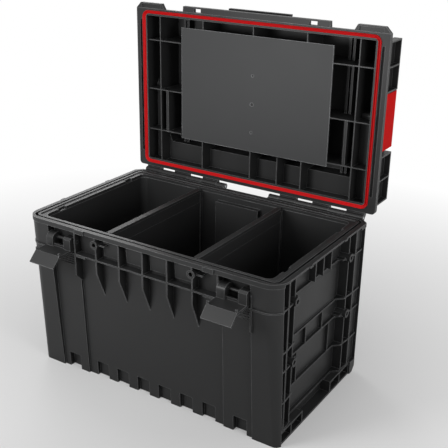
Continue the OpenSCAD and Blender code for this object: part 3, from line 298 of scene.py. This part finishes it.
class CasePlasticSettings(bpy.types.PropertyGroup):
    """Colours and texture of the finishes, with the painted highlight on edges and the painted
    shade in gaps.
    """

    body: FloatVectorProperty(
        name="Body", description="Charcoal of the tub, the lid and the latches",
        subtype="COLOR", size=3, min=0, max=1, default=(0.0185, 0.0187, 0.019))
    dark: FloatVectorProperty(
        name="Ends", description="Darker plastic of the ends, hinge, handle and dividers",
        subtype="COLOR", size=3, min=0, max=1, default=(0.014, 0.0142, 0.0145))
    panel: FloatVectorProperty(
        name="Panel", description="Grey of the panel in the lid",
        subtype="COLOR", size=3, min=0, max=1, default=(0.045, 0.046, 0.047))
    red: FloatVectorProperty(
        name="Red", description="Red of the seal",
        subtype="COLOR", size=3, min=0, max=1, default=(0.62, 0.008, 0.010))
    clip: FloatVectorProperty(
        name="Clips", description="Red of the side clips",
        subtype="COLOR", size=3, min=0, max=1, default=(0.78, 0.003, 0.003))
    steel: FloatVectorProperty(
        name="Steel", description="Pins of the hinge, the clips and the handle",
        subtype="COLOR", size=3, min=0, max=1, default=(0.42, 0.43, 0.44))
    # Edge band: rubbed wear together with a painted highlight along every edge
    edge_radius: FloatProperty(
        name="Rubbed width", description="Width of the rubbed band on an edge",
        unit="LENGTH", default=0.0015, min=0.0002, max=0.004)
    # Brightness of the painted highlight and rubbed wear on edges
    highlight_and_wear_lift: FloatProperty(
        name="Edge lift", description="Brightness of a rubbed edge over the colour",
        default=17.0, min=1, max=30)
    # Share of the painted highlight and rubbed wear that edges take
    highlight_and_wear_share: FloatProperty(
        name="Edge wear", description="How much lighter rubbed edges are",
        subtype="FACTOR", default=0.75, min=0, max=1)
    # Painted shade in gaps and recesses: its reach and strength
    recess_reach: FloatProperty(
        name="Recess reach", description="Gaps narrower than this turn dark inside",
        unit="LENGTH", default=0.022, min=0.002, max=0.2)
    recess_shade: FloatProperty(
        name="Recess dark", description="How dark the deep gaps get",
        subtype="FACTOR", default=0.75, min=0, max=1)
    gloss: FloatProperty(
        name="Gloss", description="How much the plastic reflects",
        subtype="FACTOR", default=0.3, min=0, max=1)
    grain_depth: FloatProperty(
        name="Grain depth", description="Depth of the moulded grain",
        unit="LENGTH", default=0.00006, min=0, max=0.001)


class CaseStageSettings(bpy.types.PropertyGroup):
    """Camera, floor and lamps."""

    azimuth: FloatProperty(
        name="Azimuth", description="Turn of the camera round the case",
        subtype="ANGLE", default=math.radians(32.37))
    elevation: FloatProperty(
        name="Elevation", description="Height of the camera above the horizon",
        subtype="ANGLE", default=math.radians(22.09))
    roll: FloatProperty(
        name="Roll", description="Tilt of the picture",
        subtype="ANGLE", default=math.radians(0.99))
    distance: FloatProperty(
        name="Distance", description="Camera to the point looked at",
        unit="LENGTH", default=1.59889, min=0.5, max=5)
    target: FloatVectorProperty(
        name="Target", description="Point looked at",
        subtype="TRANSLATION", unit="LENGTH", size=3, default=(0.06464, 0.0, 0.34176))
    lens: FloatProperty(
        name="Lens", description="Focal length on a 36 mm sensor, in millimetres",
        default=65.437, min=20, max=200)
    key_power: FloatProperty(
        name="Key lamp", description="Power of the lamp in front, in watts",
        default=5.2, min=0, max=500)
    side_power: FloatProperty(
        name="Side lamp", description="Power of the lamp at the right end, in watts",
        default=4.5, min=0, max=500)
    back_power: FloatProperty(
        name="Back lamp", description="Power of the lamp behind the lid, in watts",
        default=8.0, min=0, max=500)
    sky: FloatProperty(
        name="Sky", description="Strength of the even light all round",
        default=0.34, min=0, max=2)


# Operators

class CASE_OT_stage(bpy.types.Operator):
    """Makes the floor, the lamps, the sky and the camera."""

    bl_idname = "case.stage"
    bl_label = "Stage"

    SENSOR = 36.0

    def execute(self, context):
        look = context.scene.case_stage
        scene = context.scene
        scene.view_settings.view_transform = "Standard"
        self._camera(scene, look)
        self._floor()
        for name, where, target, size, power in LAMPS:
            self._lamp(scene, name, where, target, size, getattr(look, power))
        self._sky(scene, look)
        return {"FINISHED"}

    def _camera(self, scene, look):
        level = math.cos(look.elevation)
        back = Vector((math.sin(look.azimuth) * level, -math.cos(look.azimuth) * level,
                       math.sin(look.elevation)))
        across = Vector((math.cos(look.azimuth), math.sin(look.azimuth), 0))
        right = Matrix.Rotation(look.roll, 3, back) @ across
        up = back.cross(right)
        turn = Matrix((right, up, back)).transposed().to_4x4()
        data = bpy.data.cameras.new("Camera")
        data.lens = look.lens
        data.sensor_width = self.SENSOR
        camera = bpy.data.objects.new("Camera", data)
        place = Vector(look.target) + back * look.distance
        camera.matrix_world = Matrix.Translation(place) @ turn
        scene.collection.objects.link(camera)
        scene.camera = camera

    def _floor(self):
        """Floor that keeps the shadow of the case and turns white away from it, with painted
        shade darker towards the front.
        """
        bpy.ops.mesh.primitive_circle_add(vertices=FLOOR_SIDES, radius=FLOOR_RADIUS,
                                          fill_type="NGON")
        floor = bpy.context.object
        floor.name = "Floor"
        made = Finish("Studio floor")
        made.set(roughness=0.9, specular_ior_level=0.1)
        settings = {"operation": "LENGTH"}
        distance = made.node("ShaderNodeVectorMath", settings, {0: made.place()}, 1)
        # Painted shade: the floor's colour darkens towards the front
        depth = made.node("ShaderNodeSeparateXYZ", None, {0: made.place()}, 1)
        depth = made.between(depth, FLOOR_FRONT_Y, FLOOR_BACK_Y)
        pale_with_painted_shade = made.mix(depth, grey(FLOOR_FRONT), grey(FLOOR_BACK))
        made.set(base_color=made.mix(made.seen(), grey(FLOOR_LIT), pale_with_painted_shade))
        far = made.between(distance, GLOW_START, GLOW_END, GLOW_LEAST, 1.0)
        glow = made.node("ShaderNodeEmission", None, {"Color": WHITE, "Strength": 1.0})
        surface = Value(made, made.shader.outputs[0])
        inputs = {0: far * made.seen(), 1: surface, 2: glow}
        made.feed(made.output.inputs["Surface"], made.node("ShaderNodeMixShader", None, inputs))
        floor.data.materials.append(made.material)

    def _lamp(self, scene, name, where, target, size, power):
        """Round lamp that lights the case and stays out of the picture."""
        data = bpy.data.lights.new(name, "AREA")
        data.shape = "DISK"
        data.size = size
        data.energy = power
        lamp = bpy.data.objects.new(name, data)
        lamp.location = where
        lamp.visible_camera = False
        lamp.rotation_mode = "QUATERNION"
        lamp.rotation_quaternion = (Vector(target) - Vector(where)).to_track_quat("-Z", "Y")
        scene.collection.objects.link(lamp)

    def _sky(self, scene, look):
        """Even light for the case, in front of a white background."""
        world = bpy.data.worlds.new("Studio")
        world.use_nodes = True
        scene.world = world
        made = Finish.of_world(world)
        even = made.node("ShaderNodeBackground", None, {"Color": WHITE, "Strength": look.sky})
        white = made.node("ShaderNodeBackground", None, {"Color": WHITE, "Strength": 1.0})
        shown = made.node("ShaderNodeMixShader", None, {0: made.seen(), 1: even, 2: white})
        made.feed(made.output.inputs["Surface"], shown)


class CASE_OT_finishes(bpy.types.Operator):
    """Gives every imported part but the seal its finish, and rounds the edges of the plastic."""

    bl_idname = "case.finishes"
    bl_label = "Finishes"

    GROUPS = {
        "body": ["base_tub", "base_rim", "front_frame", "back_frame", "divider_guides",
                 "lid_shell", "lid_front_lip", "lid_ribs"],
        "ends": ["end_frame_left", "end_frame_right", "lid_end_left", "lid_end_right"],
        "hinge": ["hinge_knuckles", "lid_hinge_arms", "handle_lugs", "carry_handle"],
        "latch": ["latch_left", "latch_right"],
        "divider": ["divider_left", "divider_right"],
        "panel": ["lid_panel"],
        "clip": ["clip_left", "clip_right"],
        "pins": ["latch_pin_left", "latch_pin_right", "panel_screws"],
        "steel": ["hinge_pin_left", "hinge_pin_right", "clip_pin_left", "clip_pin_right",
                  "handle_pin_left", "handle_pin_right"],
    }

    def execute(self, context):
        look = context.scene.case_plastic
        finishes = {
            "body": moulded_plastic("Body plastic", look, look.body, 0.46),
            "ends": moulded_plastic("End plastic", look, look.dark, 0.46),
            "hinge": moulded_plastic("Hinge plastic", look, look.dark, 0.42),
            "latch": moulded_plastic("Latch plastic", look, look.body, 0.4),
            "divider": moulded_plastic("Divider plastic", look, look.dark, 0.5),
            "panel": moulded_plastic("Panel plastic", look, look.panel, 0.5),
            "clip": moulded_plastic("Clip plastic", look, look.clip, 0.5, 0.02),
            "pins": moulded_plastic("Pin plastic", look, look.dark, 0.45),
            "steel": pin_steel("Pin steel", look),
        }
        for group, nodes in self.GROUPS.items():
            for node in nodes:
                paint(node, finishes[group])
                if group != "steel":
                    soften(node)
        return {"FINISHED"}


class CASE_OT_seal(bpy.types.Operator):
    """Makes the red seal in the lid: a round bead, a narrow groove and a thin inner lip."""

    bl_idname = "case.seal"
    bl_label = "Seal"

    # In millimetres: distance out from the inner edge, and height above the seal's flat face.
    # Where the tongue of the base comes to lie, the height stays under 1.
    SECTION = [(0.0, -3.5), (0.0, -0.5), (0.35, -0.1), (1.0, -0.1), (1.35, -0.6), (1.7, -2.2),
               (2.7, -2.4), (3.05, -1.2), (3.3, 0.2), (3.7, 0.75), (4.75, 0.85), (4.9, 2.2),
               (5.25, 3.3), (5.85, 3.9), (6.5, 3.4), (6.85, 2.4), (7.0, 1.2), (7.0, -3.5)]
    WIDTH = SECTION[-1][0]
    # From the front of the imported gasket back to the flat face, and the inner corner radius
    FACE = 4.0
    CORNER = 7.9
    CORNER_STEPS = 10

    def execute(self, context):
        low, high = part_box("lid_gasket")
        mesh = bmesh.new()
        rings = [self._ring(low, high, (self.WIDTH * MM) - out * MM,
                            low[1] + (self.FACE - rise) * MM)
                 for out, rise in self.SECTION]
        loops = [[mesh.verts.new(point) for point in ring] for ring in rings]
        count = len(loops[0])
        for first, second in zip(loops, loops[1:] + loops[:1]):
            for i in range(count):
                j = (i + 1) % count
                mesh.faces.new((first[i], first[j], second[j], second[i]))
        bmesh.ops.recalc_face_normals(mesh, faces=mesh.faces)
        data = bpy.data.meshes.new("lid_seal")
        mesh.to_mesh(data)
        mesh.free()
        for face in data.polygons:
            face.use_smooth = True
        data.materials.append(gasket_rubber("Seal rubber", context.scene.case_plastic))
        seal = bpy.data.objects.new("lid_seal", data)
        context.scene.collection.objects.link(seal)
        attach(seal, "lid")
        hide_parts("lid_gasket")
        return {"FINISHED"}

    def _ring(self, low, high, inset, y):
        """Rounded rectangle, inset from the outer edge of the seal, in the plane at y."""
        radius = (self.CORNER + self.WIDTH) * MM - inset
        reach = inset + radius
        corners = [(high[0], high[2]), (low[0], high[2]), (low[0], low[2]), (high[0], low[2])]
        points = []
        for quarter, (x, z) in enumerate(corners):
            centre_x = x - math.copysign(reach, x)
            centre_z = z - reach if quarter < 2 else z + reach
            for step in range(self.CORNER_STEPS + 1):
                turn = math.pi / 2 * (quarter + step / self.CORNER_STEPS)
                points.append((centre_x + radius * math.cos(turn), y,
                               centre_z + radius * math.sin(turn)))
        return points


class CASE_PT_panel(bpy.types.Panel):
    """Lists what builds the case."""

    bl_label = "Tool Case"
    bl_idname = "CASE_PT_panel"
    bl_space_type = "VIEW_3D"
    bl_region_type = "UI"
    bl_category = "Tool Case"

    def draw(self, context):
        for step in STEPS:
            self.layout.operator(f"case.{step}")


STEPS = ("stage", "finishes", "seal")
SETTINGS = (CasePlasticSettings, CaseStageSettings)
CLASSES = SETTINGS + (CASE_OT_stage, CASE_OT_finishes, CASE_OT_seal, CASE_PT_panel)


def register():
    for cls in CLASSES:
        bpy.utils.register_class(cls)
    bpy.types.Scene.case_plastic = PointerProperty(type=CasePlasticSettings)
    bpy.types.Scene.case_stage = PointerProperty(type=CaseStageSettings)


def unregister():
    del bpy.types.Scene.case_plastic
    del bpy.types.Scene.case_stage
    for cls in reversed(CLASSES):
        bpy.utils.unregister_class(cls)


def main():
    register()
    for step in STEPS:
        getattr(bpy.ops.case, step)()


if __name__ == "__main__":
    main()
